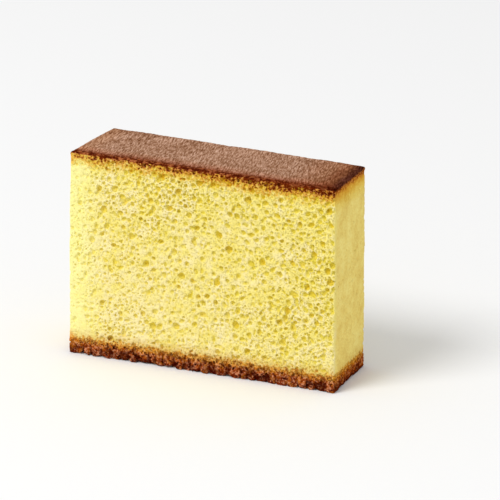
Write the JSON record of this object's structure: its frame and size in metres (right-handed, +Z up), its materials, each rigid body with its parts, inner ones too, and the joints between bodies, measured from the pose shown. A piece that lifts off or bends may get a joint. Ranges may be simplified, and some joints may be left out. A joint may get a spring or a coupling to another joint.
{
  "type": "castella sponge cake slice",
  "caption": "Thick upright slice of castella sponge cake: fine-holed yellow crumb between a thin brown top crust and a coarse brown bottom crust, flat underneath.",
  "frame": {"origin": "on the surface the slice rests on, under the centre of its box", "axes": "+X along the slice's length, +Y through its thickness, away from the big cut face shown, +Z up"},
  "size_m": [0.089, 0.0288, 0.0655],
  "materials": {
    "crumb": "matte",
    "top_crust": "matte",
    "bottom_crust": "matte"
  },
  "bodies": {
    "root": {"castella_slice": "crumb"}
  },
  "joints": []
}
